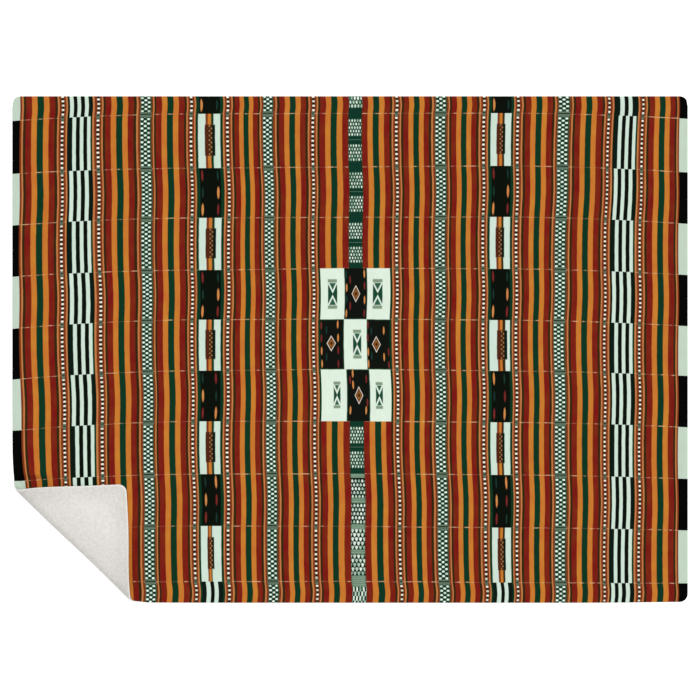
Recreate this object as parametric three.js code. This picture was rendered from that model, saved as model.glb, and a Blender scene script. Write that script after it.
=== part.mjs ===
// A plush throw blanket that lies flat, with its lower-left corner turned over so that the
// fleece backing shows. A printed plush panel and a deeper fleece backing panel are sewn
// together round their edge. Both follow one folded surface, the seam surface, on which the
// two panels meet. The frame is in millimetres: +X runs to the right along the long side,
// +Y to the top edge, +Z up, and the origin lies under the middle of the spread blanket.
import * as THREE from "three";

// The blanket as it was cut and sewn.
const blanketWidth = 2032;
const blanketHeight = 1524;
const cornerRadius = 24;

// The two panels. The pile of each thins out towards the sewn edge over the roll's width.
const panelGap = 0.3;
const printedPanel = { thickness: 2.0, edgeThickness: 1.1, side: 1 };
const backingPanel = { thickness: 4.7, edgeThickness: 2.4, side: -1 };
const edgeRoll = 9;

// The turned corner. The fold runs across the lower-left corner at this angle to the long
// side, and the cloth leaves the surface this far from the blanket's middle.
const foldAngle = THREE.MathUtils.degToRad(43.9);
const liftOffDistance = 975;
const foldSway = { depth: 4, wavelength: 420 };
const turn = { length: 62, excess: THREE.MathUtils.degToRad(11) };
const settle = { length: 60, airGap: 1.0 };
const flapRipple = { height: 1.6, acrossWavelength: 190, alongWavelength: 260 };

// How finely the cloth is divided, across the fold and along it.
const turnSteps = 14;
const descentSteps = 4;
const settleSteps = 5;
const bodyStep = 110;
const alongSteps = 7;
const rollPoints = [0, 0.3, 1];

const seamHeight = backingPanel.thickness + panelGap / 2;
const halfWidth = blanketWidth / 2;
const halfHeight = blanketHeight / 2;

// Across points from the turned corner into the blanket, and along follows the fold.
const across = new THREE.Vector2(Math.sin(foldAngle), Math.cos(foldAngle));
const along = new THREE.Vector2(-across.y, across.x);
const farCorner = new THREE.Vector2(halfWidth, halfHeight);
const arcCentre = new THREE.Vector2(halfWidth - cornerRadius, halfHeight - cornerRadius);
const farthest = arcCentre.dot(across) + cornerRadius;

// How far a point of the flat cloth lies inside its round-cornered edge.
function depthInside(x, y) {
  const outX = Math.abs(x) - arcCentre.x;
  const outY = Math.abs(y) - arcCentre.y;
  const beyond = Math.hypot(Math.max(outX, 0), Math.max(outY, 0));
  return cornerRadius - beyond - Math.min(Math.max(outX, outY), 0);
}

// The two ends of the line that crosses the flat cloth at one distance across the fold.
function rowEnds(distance) {
  const share = distance / farCorner.dot(across);
  const middle = farCorner.dot(along) * share;
  return [-1, 1].map((direction) => {
    let inside = 0;
    let outside = blanketWidth;
    while (outside - inside > 1e-4) {
      const reach = (inside + outside) / 2;
      const x = across.x * distance + along.x * (middle + direction * reach);
      const y = across.y * distance + along.y * (middle + direction * reach);
      if (depthInside(x, y) > 0) inside = reach;
      else outside = reach;
    }
    return middle + direction * inside;
  });
}

const smooth = (t) => t * t * (3 - 2 * t);
const clamp01 = (t) => Math.min(Math.max(t, 0), 1);

// The slope of the cloth at a length past the lift-off line: it turns over by a little more
// than half a circle, comes down in a straight line, and settles flat on the blanket.
function slopeAt(length, descent) {
  const turned = smooth(clamp01(length / turn.length));
  const settled = smooth(clamp01((length - turn.length - descent) / settle.length));
  return Math.PI * turned + turn.excess * (turned - settled);
}

// The fold's section as places reached after each millimetre of cloth.
function foldSection(descent) {
  const section = [{ out: 0, up: 0 }];
  const reach = turn.length + descent + settle.length;
  for (let length = 0.5; length < reach; length += 1) {
    const last = section[section.length - 1];
    const slope = slopeAt(length, descent);
    section.push({ out: last.out + Math.cos(slope), up: last.up + Math.sin(slope) });
  }
  return section;
}

// The straight descent is as long as the cloth needs to come to rest on its own upper side.
const restingLift = 2 * (printedPanel.thickness + panelGap / 2) + settle.airGap;
const liftWithoutDescent = foldSection(0).at(-1).up;
const descentLength = (liftWithoutDescent - restingLift) / Math.sin(turn.excess);
const section = foldSection(descentLength);

// Where the seam surface lies for a point of the flat cloth, and which way it faces.
function seamSurface(distance, position) {
  const sway = foldSway.depth * Math.sin((2 * Math.PI * position) / foldSway.wavelength);
  const liftOff = -liftOffDistance + sway;
  const length = liftOff - distance;
  if (length <= 0) return { distance, height: seamHeight, slope: 0 };
  const index = Math.min(Math.floor(length), section.length - 1);
  const next = Math.min(index + 1, section.length - 1);
  const share = length - index;
  const blend = Math.min(share, 1);
  const flat = Math.max(length - section.length + 1, 0);
  const out = THREE.MathUtils.lerp(section[index].out, section[next].out, blend) - flat;
  const up = THREE.MathUtils.lerp(section[index].up, section[next].up, blend);
  const rippled = smooth(clamp01((length - turn.length) / settle.length));
  const ripple =
    (1 - Math.cos((2 * Math.PI * length) / flapRipple.acrossWavelength)) *
    (1 + Math.sin((2 * Math.PI * position) / flapRipple.alongWavelength));
  return {
    distance: liftOff - out,
    height: seamHeight + up + (rippled * flapRipple.height * ripple) / 4,
    slope: slopeAt(length, descentLength),
  };
}

// A panel's thickness, which thins out in a quarter round towards the sewn edge.
function thicknessAt(panel, depth) {
  const share = 1 - clamp01(depth / edgeRoll);
  const round = Math.sqrt(1 - share * share);
  return THREE.MathUtils.lerp(panel.edgeThickness, panel.thickness, round);
}

// The places across the fold at which the cloth is divided, from the turned corner's tip.
function stationsAcross() {
  const stations = [];
  const addRange = (from, to, steps) => {
    for (let i = 0; i <= steps; i += 1) stations.push(from + ((to - from) * i) / steps);
  };
  const flapTop = -liftOffDistance - foldSway.depth;
  const turnEnd = flapTop - turn.length;
  const settleStart = turnEnd - descentLength;
  const settleEnd = settleStart - settle.length;
  for (const inset of [0.5, 2.5, 7, 16]) stations.push(-farthest + inset, farthest - inset);
  addRange(-farthest + 30, settleEnd, 1);
  addRange(settleEnd, settleStart, settleSteps);
  addRange(settleStart, turnEnd, descentSteps);
  addRange(turnEnd, flapTop + 2 * foldSway.depth, turnSteps);
  const sideArc = Math.abs(arcCentre.x * across.x - arcCentre.y * across.y);
  for (const side of [-1, 1]) {
    addRange(side * sideArc - cornerRadius * across.y, side * sideArc + cornerRadius * across.y, 4);
  }
  const bodyStart = -liftOffDistance + 40;
  addRange(bodyStart, farthest - 40, Math.round((farthest - bodyStart) / bodyStep));
  stations.sort((a, b) => a - b);
  return stations.filter((station, i) => i === 0 || station - stations[i - 1] > 1.2);
}

// The places along a row, as shares of its length: close together in the rolled edge.
function placesAlong(rowLength) {
  const roll = Math.min((edgeRoll * Math.SQRT2) / rowLength, 0.2);
  const places = [];
  for (const point of rollPoints) places.push(point * roll, 1 - point * roll);
  for (let i = 1; i < alongSteps; i += 1) {
    places.push(roll + ((1 - 2 * roll) * i) / alongSteps);
  }
  return places.sort((a, b) => a - b);
}

const rows = stationsAcross().map((distance) => {
  const [start, end] = rowEnds(distance);
  const positions = placesAlong(end - start).map((share) => start + (end - start) * share);
  return { distance, positions };
});

// A point of one panel's surface: its outward side is the pile, the other lies on the seam.
function panelPoint(panel, row, place, layer) {
  const position = row.positions[place];
  const x = across.x * row.distance + along.x * position;
  const y = across.y * row.distance + along.y * position;
  const onPile = (layer === 1) === (panel.side === 1);
  const thickness = onPile ? thicknessAt(panel, depthInside(x, y)) : 0;
  const offset = panel.side * (panelGap / 2 + thickness);
  const seam = seamSurface(row.distance, position);
  const distance = seam.distance + Math.sin(seam.slope) * offset;
  return [
    across.x * distance + along.x * position,
    across.y * distance + along.y * position,
    seam.height + Math.cos(seam.slope) * offset,
  ];
}

// One panel as a closed solid: a grid of points for each side, joined round the edge. Both
// sides of both panels split each square along the same diagonal, so the panels never cross.
function makePanel(name, panel, colour) {
  const rowCount = rows.length;
  const placeCount = rows[0].positions.length;
  const points = [];
  for (const layer of [0, 1]) {
    for (const row of rows) {
      for (let place = 0; place < placeCount; place += 1) {
        points.push(...panelPoint(panel, row, place, layer));
      }
    }
  }
  const corner = (layer, row, place) => (layer * rowCount + row) * placeCount + place;
  const triangles = [];
  const addSquare = (a, b, c, d) => triangles.push(a, b, c, a, c, d);
  for (let row = 0; row + 1 < rowCount; row += 1) {
    for (let place = 0; place + 1 < placeCount; place += 1) {
      const square = (layer) => [
        corner(layer, row, place),
        corner(layer, row + 1, place),
        corner(layer, row + 1, place + 1),
        corner(layer, row, place + 1),
      ];
      addSquare(...square(1));
      const [a, b, c, d] = square(0);
      triangles.push(a, c, b, a, d, c);
    }
  }
  const addEdge = (row, place, nextRow, nextPlace) => {
    const low = [corner(0, row, place), corner(0, nextRow, nextPlace)];
    const high = [corner(1, row, place), corner(1, nextRow, nextPlace)];
    addSquare(low[0], low[1], high[1], high[0]);
  };
  const lastRow = rowCount - 1;
  const lastPlace = placeCount - 1;
  for (let row = 0; row < lastRow; row += 1) {
    addEdge(row, 0, row + 1, 0);
    addEdge(row + 1, lastPlace, row, lastPlace);
  }
  for (let place = 0; place < lastPlace; place += 1) {
    addEdge(0, place + 1, 0, place);
    addEdge(lastRow, place, lastRow, place + 1);
  }
  const geometry = new THREE.BufferGeometry();
  geometry.setAttribute("position", new THREE.Float32BufferAttribute(points, 3));
  geometry.setIndex(triangles);
  geometry.computeVertexNormals();
  const material = new THREE.MeshStandardMaterial({ color: colour, roughness: 0.95, metalness: 0 });
  const mesh = new THREE.Mesh(geometry, material);
  mesh.name = name;
  return mesh;
}

const blanket = new THREE.Group();
blanket.add(makePanel("printed_panel", printedPanel, 0xb0581f));
blanket.add(makePanel("backing_panel", backingPanel, 0xe4e1db));

export default blanket;
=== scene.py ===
import math
from functools import partial

import bpy
import numpy as np
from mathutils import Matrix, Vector


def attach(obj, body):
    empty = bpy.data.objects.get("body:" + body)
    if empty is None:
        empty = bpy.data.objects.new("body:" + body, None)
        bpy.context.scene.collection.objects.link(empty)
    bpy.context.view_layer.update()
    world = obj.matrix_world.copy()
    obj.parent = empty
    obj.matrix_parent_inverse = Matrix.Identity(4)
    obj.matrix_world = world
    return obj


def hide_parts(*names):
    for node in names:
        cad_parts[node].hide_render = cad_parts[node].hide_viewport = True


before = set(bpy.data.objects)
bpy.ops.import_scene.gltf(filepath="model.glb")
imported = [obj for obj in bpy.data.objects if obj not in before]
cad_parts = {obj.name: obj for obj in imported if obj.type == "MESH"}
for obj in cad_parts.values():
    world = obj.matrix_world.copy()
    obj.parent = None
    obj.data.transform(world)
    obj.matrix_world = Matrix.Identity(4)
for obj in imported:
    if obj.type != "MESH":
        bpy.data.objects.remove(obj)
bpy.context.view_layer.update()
print("frame loaded")

# Lengths are in millimetres until a mesh is made, and the frame is in metres.
millimetre = 0.001

# The blanket as it was cut and sewn. These repeat the sizes of the CAD part.
blanket = {
    "width": 2032.0,
    "height": 1524.0,
    "cornerRadius": 24.0,
    "panelGap": 0.3,
    "edgeRoll": 9.0,  # the pile thins out over this width towards the sewn edge
    "printedPile": 2.0,
    "printedEdge": 1.1,
    "backingPile": 4.7,
    "backingEdge": 2.4,
}

# The turned corner, as in the CAD part but for a straighter fold line, which fits the photo.
turnedCorner = {
    "foldAngle": 43.9,
    "liftOff": 972.0,  # 975 in the CAD part
    "swayDepth": 1.0,  # 4 in the CAD part
    "swayLength": 420.0,
    "turnLength": 62.0,
    "excessAngle": 11.0,
    "settleLength": 60.0,
    "airGap": 1.0,
    "rippleHeight": 1.6,
    "rippleAcross": 190.0,
    "rippleAlong": 260.0,
}

# How the cloth has crept in its own plane. Each creep is a soft bump round its centre, which
# reaches this far to the left, right, down and up, and moves the cloth by this much.
clothCreep = {
    "creeps": (
        {"centre": (-978.0, -413.0), "reach": (50.0, 80.0, 40.0, 60.0), "move": (8.5, 0.0)},
        {"centre": (-1016.0, -440.0), "reach": (60.0, 60.0, 60.0, 18.0), "move": (4.0, 0.0)},
        {"centre": (-1016.0, -762.0), "reach": (300.0, 300.0, 300.0, 300.0), "move": (3.8, 5.0)},
        {"centre": (-735.0, -762.0), "reach": (110.0, 60.0, 80.0, 80.0), "move": (0.0, 4.5)},
        {"centre": (-645.0, -762.0), "reach": (26.0, 24.0, 60.0, 60.0), "move": (0.0, 3.0)},
        {"centre": (1016.0, -762.0), "reach": (170.0, 170.0, 90.0, 90.0), "move": (0.0, 2.6)},
    ),
    # the ridge that the creep beside the fold's upper end has raised
    "ridge": {"centre": (-945.0, -374.0), "reach": (42.0, 42.0, 13.0, 24.0), "height": 12.0},
    "ridgeClearance": 25.0,  # the ridge fades out over this width before the fold begins
}

halfWidth = blanket["width"] / 2
halfHeight = blanket["height"] / 2
seamHeight = blanket["backingPile"] + blanket["panelGap"] / 2


def smoothStep(share):
    share = np.clip(share, 0.0, 1.0)
    return share * share * (3.0 - 2.0 * share)


def depthInside(x, y):
    # how far a point of the flat cloth lies inside its round-cornered edge
    radius = blanket["cornerRadius"]
    outX = np.abs(x) - (halfWidth - radius)
    outY = np.abs(y) - (halfHeight - radius)
    beyond = np.hypot(np.maximum(outX, 0.0), np.maximum(outY, 0.0))
    return radius - beyond - np.minimum(np.maximum(outX, outY), 0.0)


def foldSlope(length, descent):
    excess = math.radians(turnedCorner["excessAngle"])
    turned = smoothStep(length / turnedCorner["turnLength"])
    past = length - turnedCorner["turnLength"] - descent
    settled = smoothStep(past / turnedCorner["settleLength"])
    return math.pi * turned + excess * (turned - settled)


def foldSection(descent):
    # where each millimetre of cloth past the lift-off line has gone to, out and up
    reach = turnedCorner["turnLength"] + descent + turnedCorner["settleLength"]
    slopes = foldSlope(np.arange(0.5, reach, 1.0), descent)
    out = np.concatenate([[0.0], np.cumsum(np.cos(slopes))])
    up = np.concatenate([[0.0], np.cumsum(np.sin(slopes))])
    return out, up


restingLift = 2 * (blanket["printedPile"] + blanket["panelGap"] / 2) + turnedCorner["airGap"]
liftBeforeDescent = foldSection(0.0)[1][-1] - restingLift
descentLength = liftBeforeDescent / math.sin(math.radians(turnedCorner["excessAngle"]))
sectionOut, sectionUp = foldSection(descentLength)
sectionSteps = np.arange(len(sectionOut), dtype=float)

foldAngle = math.radians(turnedCorner["foldAngle"])
acrossFold = (math.sin(foldAngle), math.cos(foldAngle))
alongFold = (-acrossFold[1], acrossFold[0])


def softBump(x, y, centre, reach):
    # 1 at the centre, and down to about a third at its reach to the left, right, down or up
    left, right, down, up = reach
    offX, offY = x - centre[0], y - centre[1]
    offX = offX / np.where(offX < 0, left, right)
    offY = offY / np.where(offY < 0, down, up)
    return np.exp(-(offX**2) - offY**2)


def creepCloth(x, y):
    # moves points of the flat cloth in its plane, and says how far the ridge lifts each
    movedX, movedY = x.copy(), y.copy()
    for creep in clothCreep["creeps"]:
        bump = softBump(x, y, creep["centre"], creep["reach"])
        movedX += creep["move"][0] * bump
        movedY += creep["move"][1] * bump
    distance = movedX * acrossFold[0] + movedY * acrossFold[1]
    ridge = clothCreep["ridge"]
    clear = smoothStep((distance + turnedCorner["liftOff"]) / clothCreep["ridgeClearance"])
    raised = ridge["height"] * clear * softBump(x, y, ridge["centre"], ridge["reach"])
    return movedX, movedY, raised


def layCloth(x, y, offset):
    # carries points of the flat cloth, each this far above its seam surface, to their places
    x, y, ridge = creepCloth(x, y)
    distance = x * acrossFold[0] + y * acrossFold[1]
    position = x * alongFold[0] + y * alongFold[1]
    sway = np.sin(2 * math.pi * position / turnedCorner["swayLength"])
    liftOff = turnedCorner["swayDepth"] * sway - turnedCorner["liftOff"]
    length = liftOff - distance
    past = np.maximum(length, 0.0)
    beyond = np.maximum(past - sectionSteps[-1], 0.0)
    out = np.interp(past, sectionSteps, sectionOut) - beyond
    up = np.interp(past, sectionSteps, sectionUp)
    slope = np.where(length > 0, foldSlope(past, descentLength), 0.0)
    rippled = smoothStep((past - turnedCorner["turnLength"]) / turnedCorner["settleLength"])
    ripple = (1 - np.cos(2 * math.pi * past / turnedCorner["rippleAcross"])) * (
        1 + np.sin(2 * math.pi * position / turnedCorner["rippleAlong"])
    )
    seamDistance = np.where(length > 0, liftOff - out, distance)
    rise = up + turnedCorner["rippleHeight"] * rippled * ripple / 4
    lift = seamHeight + np.where(length > 0, rise, 0.0)
    placed = seamDistance + np.sin(slope) * offset
    height = lift + np.cos(slope) * offset + ridge
    return np.stack(
        [
            acrossFold[0] * placed + alongFold[0] * position,
            acrossFold[1] * placed + alongFold[1] * position,
            height,
        ],
        axis=-1,
    )


def pileDepth(x, y, full, edge):
    # a panel's thickness, which thins out in a quarter round towards the sewn edge
    share = 1 - np.clip(depthInside(x, y) / blanket["edgeRoll"], 0.0, 1.0)
    return edge + (full - edge) * np.sqrt(1 - share * share)


def roundCorners(x, y):
    # carries a square-cornered grid on to the round-cornered cloth
    radius = blanket["cornerRadius"]
    outX = np.maximum(np.abs(x) - (halfWidth - radius), 0.0)
    outY = np.maximum(np.abs(y) - (halfHeight - radius), 0.0)
    both = (outX > 0) & (outY > 0)
    reach = np.where(both, np.hypot(outX, outY), 1.0)
    keep = np.where(both, np.maximum(outX, outY) / reach, 1.0)
    newX = np.where(both, np.sign(x) * (halfWidth - radius + outX * keep), x)
    newY = np.where(both, np.sign(y) * (halfHeight - radius + outY * keep), y)
    return newX, newY


# The waves that unevenness is made of: how many, their pitch as a share of its size, and the
# number that brings their sum to between -1 and 1.
waves = {"count": 7, "pitch": (0.75, 1.6), "level": 4.2}


def gentleNoise(x, y, size, seed):
    # smooth repeatable unevenness with hollows about this many millimetres apart
    rng = np.random.default_rng(seed)
    total = np.zeros_like(x)
    for _ in range(waves["count"]):
        angle = rng.uniform(0, 2 * math.pi)
        pitch = size * rng.uniform(*waves["pitch"])
        phase = rng.uniform(0, 2 * math.pi)
        total += np.sin(2 * math.pi * (x * math.cos(angle) + y * math.sin(angle)) / pitch + phase)
    return total / waves["level"]


def sewPanel(name, upper, lower, slots):
    # one closed panel: a grid of points for each side, joined round the edge; the material slots
    # are those of the upper cells, the lower ones and the rim
    rows, lines = upper.shape[:2]
    index = np.arange(rows * lines).reshape(rows, lines)
    below = index + rows * lines
    a, b, c, d = index[:-1, :-1], index[1:, :-1], index[1:, 1:], index[:-1, 1:]
    top = np.stack([a, b, c, d], axis=-1).reshape(-1, 4)
    bottom = np.stack([a, d, c, b], axis=-1).reshape(-1, 4) + rows * lines
    rim = np.concatenate([index[:, 0], index[-1, 1:], index[::-1, -1][1:], index[0, ::-1][1:-1]])
    after = np.roll(rim, -1)
    under = below.reshape(-1)
    wall = np.stack([rim, under[rim], under[after], after], axis=-1)
    points = np.concatenate([upper.reshape(-1, 3), lower.reshape(-1, 3)]) * millimetre
    mesh = bpy.data.meshes.new(name)
    mesh.from_pydata(points.tolist(), [], np.concatenate([top, bottom, wall]).tolist())
    mesh.polygons.foreach_set("material_index", np.concatenate(slots).astype(np.int32))
    mesh.shade_smooth()
    panel = bpy.data.objects.new(name, mesh)
    bpy.context.scene.collection.objects.link(panel)
    return panel


def rimCells(rows, lines):
    # the upper cell behind each piece of the rim, and which of its corners the piece joins
    cells = np.arange((rows - 1) * (lines - 1)).reshape(rows - 1, lines - 1)
    sides = [cells[:, 0], cells[-1], cells[::-1, -1], cells[0, ::-1]]
    pairs = [(0, 1), (1, 2), (2, 3), (3, 0)]
    corners = np.concatenate([np.tile((p, p, q, q), (len(s), 1)) for s, (p, q) in zip(sides, pairs)])
    return np.concatenate(sides), corners


def cellCorners(grid):
    # a grid's values at the four corners of each upper cell, in the order of its face
    corners = [grid[:-1, :-1], grid[1:, :-1], grid[1:, 1:], grid[:-1, 1:]]
    return np.stack(corners, axis=2).reshape(-1, 4, grid.shape[-1])


def markCorners(panel, name, upperCorners, rows, lines):
    # keeps a value at every face corner; the rim repeats the cells behind it
    cells, corners = rimCells(rows, lines)
    rim = upperCorners[cells[:, None], corners]
    values = np.concatenate([upperCorners, np.zeros_like(upperCorners), rim]).reshape(-1, 3)
    mark = panel.data.attributes.new(name, "FLOAT_VECTOR", "CORNER")
    mark.data.foreach_set("vector", values.astype(np.float32).ravel())


def markPoints(panel, name, grid):
    # keeps a value at every point of both sides
    values = np.concatenate([grid.reshape(-1, 3)] * 2)
    mark = panel.data.attributes.new(name, "FLOAT_VECTOR", "POINT")
    mark.data.foreach_set("vector", values.astype(np.float32).ravel())


# The flat layout for baking, in shares of its width: where the small copy of the hidden side
# begins and how tall it is drawn, and between which heights the rim lies.
bakeLayout = {"smallFrom": 0.77, "smallScale": 0.24, "rim": (0.96, 0.99)}


def layOutBake(panel, x, y, pileIsUpper):
    # the pile side is drawn large, the hidden side and the rim small
    rows, lines = x.shape
    width = blanket["width"]
    across, down = (x + halfWidth) / width, (y + halfHeight) / width
    large = cellCorners(np.stack([across, down], axis=-1))
    squeezed = bakeLayout["smallFrom"] + down * bakeLayout["smallScale"]
    small = cellCorners(np.stack([across, squeezed], axis=-1))
    upper, lower = (large, small) if pileIsUpper else (small, large)
    rimCount = 2 * (rows + lines) - 4
    start = np.arange(rimCount) / rimCount
    end = start + 1 / rimCount
    low, high = (np.full(rimCount, height) for height in bakeLayout["rim"])
    rim = np.stack([start, high, start, low, end, low, end, high], axis=-1)
    layout = panel.data.uv_layers.new(name="OFBake")
    values = np.concatenate([upper.ravel(), lower[:, [0, 3, 2, 1]].ravel(), rim.ravel()])
    layout.data.foreach_set("uv", values.astype(np.float32))


# The weave that is printed on the pile, as widths and heights in chart units of 3 mm. The
# guards, which stand on both sides of a stripe, are mirrored where they close it.
weaveChart = {
    "columns": """block 7.7, guard 5.8, middle 29, guard< 6.2, beads 3, halfGuard 3.3,
        ladder 24.7, halfGuard< 4, beads 3.3, guard 5.5, middle 28.5, guard< 6.7, net 11.5,
        guard 4.5, middle 28.5, guard< 5.5, beads 3, guard 5, pillar 22.8, guard< 5.2, beads 3,
        guard 5.5, middle 23, guard< 5, net 10.5, guard 6, middle 26.5, guard< 6, beads 3,
        guard 5.5, middle 28.5, centre 13.5, middle 27.5, guard< 5.5, beads 3, guard 5.5,
        middle 25.5, guard< 6, net 11.5, guard 5, middle 25, guard< 6, beads 3, guard 5,
        pillar 21.6, guard< 4.4, beads 3, guard 6, middle 26.5, guard< 5.5, net 12, guard 5.5,
        middle 26.5, guard< 5.5, beads 2.5, halfGuard 3.5, ladder 24.5, halfGuard< 3.5,
        beads 2.5, guard 5.5, middle 26, guard< 4.5, block 8.3""",
    "strips": (16.3, 54.2, 49.8, 52.5, 50.2, 50.6, 50.7, 53.2, 51.5, 56.0, 20.0),
    "fullStrip": 51.8,  # the first and last strips are cut from one of this height
    "medallionColumns": (30, 32),
    "medallionStrips": (4, 6),
    # how far the seams between the strips droop at the left and right sides
    "leftDroop": (7.2, 5.8, 7.7, 6.8, 9.2, 9.0, 9.6, 7.6, 6.0, 5.0),
    "rightDroop": (5.7, 6.7, 7.0, 6.2, 6.1, 5.0, 5.0, 4.0, 2.8, 1.4),
    "droopReach": 200.0,
    # how far each seam lies low at these units from the left side: its first, middle and last third
    "swayUnits": (200, 340, 488),
    "seamSway": (
        (1.3, 0.9, 0.6), (1.2, 0, -1.1), (1, 0.5, 0), (0.5, -1.4, -0.7), (-0.2, -1, 0.2),
        (0, -1.7, 0.3), (-0.2, -0.4, 0.8), (-0.8, -1.3, 0), (-0.6, -0.2, 1.1), (-1.2, -1.4, -0.2),
    ),
    # how far the columns have drifted sideways by these strips, at units from the left side
    "driftStrips": (1, 3, 5, 7.5, 10.5),
    "drift": {
        0: (0, 0, 0, 0, 0), 8: (0, -1, -1, 2, 3.5), 50: (0, -1, -0.5, 2.5, 3), 85: (0.5, 1, 3, 5, 5),
        133: (0, 1, 1.5, 3, 4.8), 179: (-0.5, 0.5, 0.5, 1.5, 4.6), 215: (0, 1.6, 0.5, -0.3, 1.3),
        255: (0, 2, 3, 4, 6), 300: (0, 0, 0.5, 2, 4), 325: (-0.5, -0.5, 0, 0.5, 2),
        350: (0, 1, 0.5, 2.5, 4.5), 367: (0, 1, 0, 3, 6), 384: (0, 0.5, 0, 1.5, 5),
        428: (0, 0, -0.5, 0.5, 4), 472: (0, -1, -1, 0, 3), 506: (0, -1.5, -2, -1.5, -0.5),
        551: (0.5, -2.5, -4.5, -3, -3), 614: (0.8, -3, -3.5, -3.5, -4.6), 667: (0, -1, -1, -1.5, -1),
        675: (0, 0, 0, 0, 0),
    },
    # between two seams the columns bow to the right in odd strips and to the left in even ones
    "bow": (0.7, -0.3),
    "bowFade": 12.0,  # the bow fades out over this width at the sides
}
motifHeight = 50.5  # the motifs are charted for a strip of this height


def readChart(chart):
    # a chart's entries, each a name and its numbers
    entries = [entry.split() for entry in chart.split(",")]
    return [(name, *map(float, numbers)) for name, *numbers in entries]


columnPlan = readChart(weaveChart["columns"])
columnKinds = [kind for kind, _ in columnPlan]
columnWidths = np.array([width for _, width in columnPlan])
columnEdges = np.concatenate([[0.0], np.cumsum(columnWidths)])
chartWidth = columnEdges[-1]
unit = blanket["width"] / chartWidth
stripEdges = np.concatenate([[0.0], np.cumsum(weaveChart["strips"])])
stripEdges *= halfHeight * 2 / unit / stripEdges[-1]
stripCount = len(weaveChart["strips"])

# How finely the panels are divided, in millimetres.
division = {
    "rim": (0.0, 1.0, 2.5, 4.5, 7.0, 10.0),
    "foldStep": 5.0,
    "bodyStep": 17.5,
    "foldColumns": 13,  # the columns from the left side that the fold reaches
    "foldStrips": 3,  # the strips from the bottom that the fold reaches
    "sideShares": (0.6, 0.8),  # lines in an outermost column, past the rim
    "firstRowShares": (0.45, 0.7),  # rows in the first strip, past the rim
    "lastRowClear": 0.04,  # the rows of the last strip keep this far from its rim
    "halfway": 0.66,  # where the strip above the fold's strips passes from coarse to fine rows
    "halfwaySteps": (6, 11),
    "backingFoldStep": 3.0,
    "backingBodyStep": 20.0,
    "backingFoldRight": -600.0,
    "backingFoldTop": -355.0,
}


def chartLines():
    # the grid's lines as column number plus share of its width
    lines = []
    for number, width in enumerate(columnWidths * unit):
        rim = [depth / width for depth in division["rim"]] + list(division["sideShares"])
        if number == 0:
            shares = rim
        elif number == len(columnWidths) - 1:
            shares = [0.0] + [1 - share for share in rim[::-1]]
        else:
            step = division["foldStep" if number < division["foldColumns"] else "bodyStep"]
            steps = max(1, round(width / step))
            shares = [i / steps for i in range(steps)]
        lines += [number + share for share in shares]
    return np.array(lines)


def chartRows():
    # the grid's rows as strip number plus share of its height
    rows = []
    for number in range(stripCount):
        height = (stripEdges[number + 1] - stripEdges[number]) * unit
        rimShares = [depth / height for depth in division["rim"]]
        fine = number >= stripCount - division["foldStrips"]
        steps = max(1, round(height / division["foldStep" if fine else "bodyStep"]))
        shares = [i / steps for i in range(steps)]
        if number == 0:
            shares = rimShares + list(division["firstRowShares"])
        elif number == stripCount - 1:
            last = 1 - rimShares[-1] - division["lastRowClear"]
            shares = [share for share in shares if share < last]
            shares += [1 - share for share in rimShares[::-1]]
        elif number == stripCount - division["foldStrips"] - 1:
            halfway, (coarse, close) = division["halfway"], division["halfwaySteps"]
            shares = list(np.linspace(0, halfway, coarse + 1)[:-1])
            shares += list(np.linspace(halfway, 1, close + 1)[:-1])
        rows += [number + share for share in shares]
    return np.array(rows)


lineChart, rowChart = chartLines(), chartRows()
columnNumbers = np.arange(len(columnEdges))
stripNumbers = np.arange(stripCount + 1)


def driftAt(units, strips):
    # sideways drift of the columns, in units, for a row of places and a column of strips
    anchors = sorted(weaveChart["drift"])
    byStrip = np.array([weaveChart["drift"][anchor] for anchor in anchors], dtype=float)
    ends = np.array([np.interp(strips, weaveChart["driftStrips"], row) for row in byStrip]).T
    drift = np.array([np.interp(units, anchors, row) for row in ends])
    fromSide = np.clip(np.minimum(units, chartWidth - units) / weaveChart["bowFade"], 0.0, 1.0)
    bow = np.where(strips.astype(int) % 2 == 0, *weaveChart["bow"])
    bow = bow * np.sin(math.pi * (strips % 1.0))
    return drift + bow[:, None] * fromSide


def seamDroop(units, seam):
    # how far a seam hangs lower than its straight line, in units
    reach = weaveChart["droopReach"]
    left = np.clip(1 - units / reach, 0.0, 1.0) ** 2
    right = np.clip(1 - (chartWidth - units) / reach, 0.0, 1.0) ** 2
    sway = np.interp(units, weaveChart["swayUnits"], weaveChart["seamSway"][seam])
    return weaveChart["leftDroop"][seam] * left + weaveChart["rightDroop"][seam] * right + sway


def printedGrid():
    # places of the printed panel's grid on the flat cloth
    units = np.interp(lineChart, columnNumbers, columnEdges)
    across = units[None, :] + driftAt(units, rowChart)
    seams = [np.zeros_like(units)]
    seams += [stripEdges[i + 1] + seamDroop(units, i) for i in range(stripCount - 1)]
    seams += [np.full_like(units, stripEdges[-1])]
    down = np.array([np.interp(rowChart, stripNumbers, column) for column in np.array(seams).T]).T
    x = across * unit - halfWidth
    y = halfHeight - down * unit
    rim = np.array(division["rim"])
    x[:, : len(rim)] = rim - halfWidth
    x[:, -len(rim) :] = halfWidth - rim[::-1]
    y[: len(rim)] = (halfHeight - rim)[:, None]
    y[-len(rim) :] = (rim[::-1] - halfHeight)[:, None]
    seamsY = halfHeight - np.array(seams) * unit
    return x, y, units, seamsY


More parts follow.
